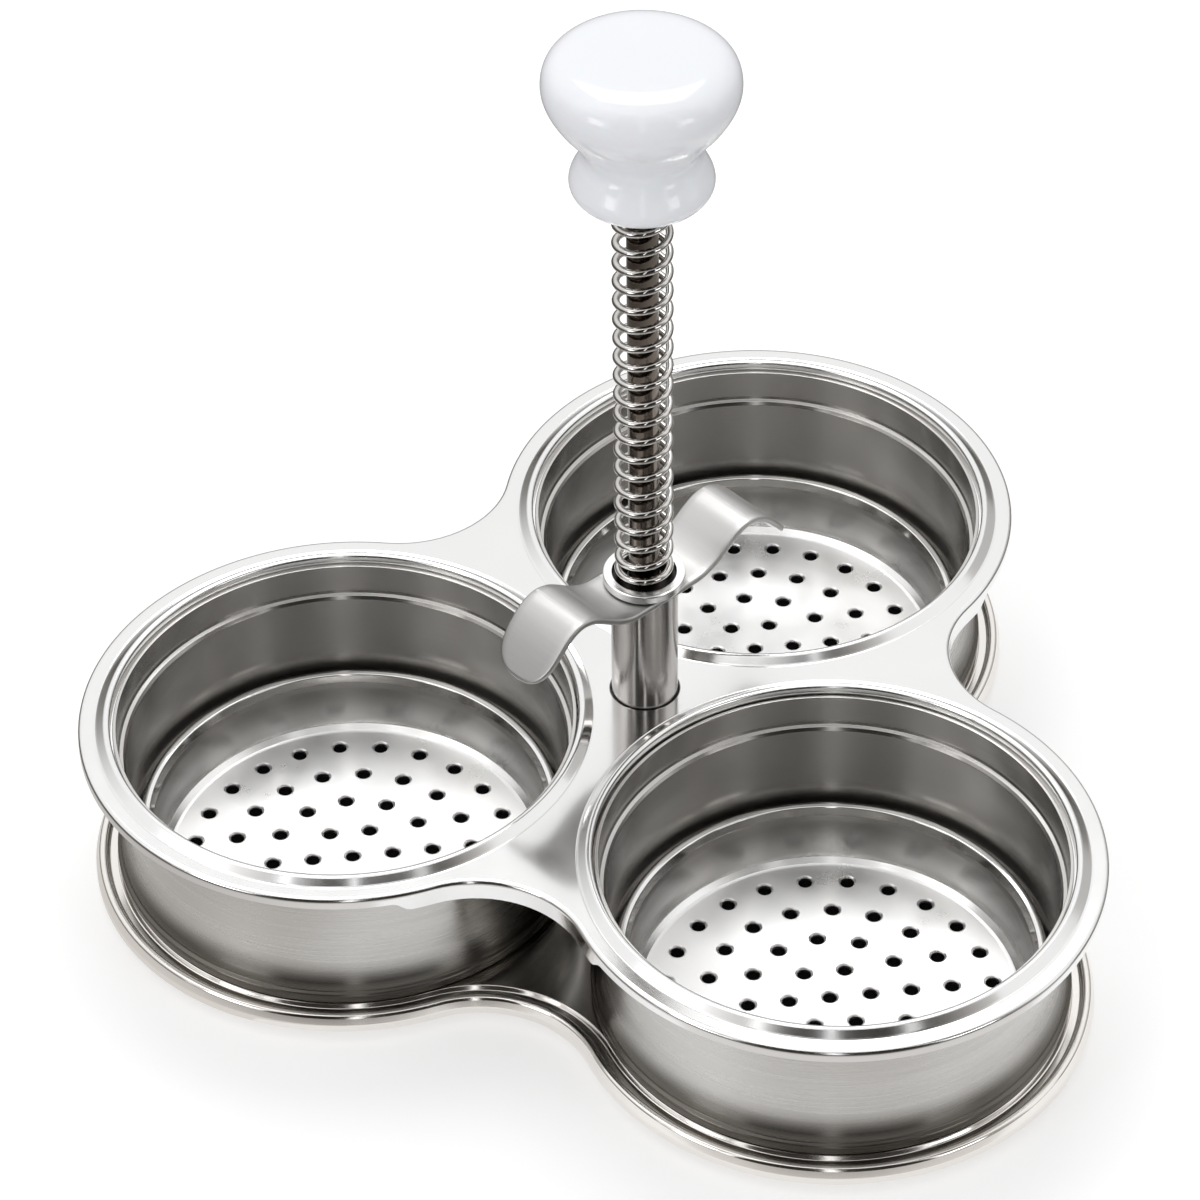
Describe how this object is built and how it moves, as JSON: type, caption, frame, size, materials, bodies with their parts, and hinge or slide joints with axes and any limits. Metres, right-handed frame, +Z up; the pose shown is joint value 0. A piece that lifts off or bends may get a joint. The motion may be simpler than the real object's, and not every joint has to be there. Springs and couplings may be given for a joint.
{
  "type": "egg poacher",
  "caption": "Trefoil egg poacher: perforated dishes on a tray, open rings under a plate that lifts on a sprung tube, with a finger grip and a knob on the rod.",
  "frame": {"origin": "middle of the footprint, on the surface that the dishes stand on", "axes": "+Z up along the rod; +X towards the side between the front and back cups, with one cup on the -X side; +Y towards the back cup, away from the front cup"},
  "size_m": [0.178, 0.1906, 0.1758],
  "materials": {
    "plate_steel": "polished pressed stainless steel",
    "tray_steel": "polished pressed stainless steel",
    "ring_steel": "stainless steel brushed round the wall",
    "dish_steel": "bright stainless steel, brushed wall",
    "tube_steel": "drawn stainless tube, lightly brushed along its length",
    "grip_steel": "stainless strip brushed along its length",
    "seat_steel": "polished stainless steel",
    "rod_steel": "bright drawn stainless rod",
    "spring_wire": "bright stainless spring wire",
    "zinc_steel": "zinc-plated steel",
    "white_knob": "glossy cool-white moulded plastic",
    "bush_nylon": "natural nylon",
    "brass_insert": "turned brass"
  },
  "bodies": {
    "stand": {"tray": "tray_steel", "dish_left": "dish_steel", "dish_front": "dish_steel", "dish_back": "dish_steel", "rod": "rod_steel", "base_washer": "zinc_steel", "base_nut": "zinc_steel", "clamp_nut": "zinc_steel", "spring": "spring_wire", "spring_cap": "zinc_steel", "knob": "white_knob", "knob_insert": "brass_insert"},
    "lifter": {"top_plate": "plate_steel", "ring_left": "ring_steel", "ring_front": "ring_steel", "ring_back": "ring_steel", "guide_tube": "tube_steel", "tube_flange": "tube_steel", "lower_bush": "bush_nylon", "finger_grip": "grip_steel", "spring_seat": "seat_steel"}
  },
  "joints": [
    {"name": "ring_lift", "type": "slide", "parent": "stand", "child": "lifter", "axis": [0, 0, 1], "range_m": [0, 0.045], "stiffness_N_per_m": 300, "springref_m": -0.02, "deforming": ["spring"]}
  ]
}
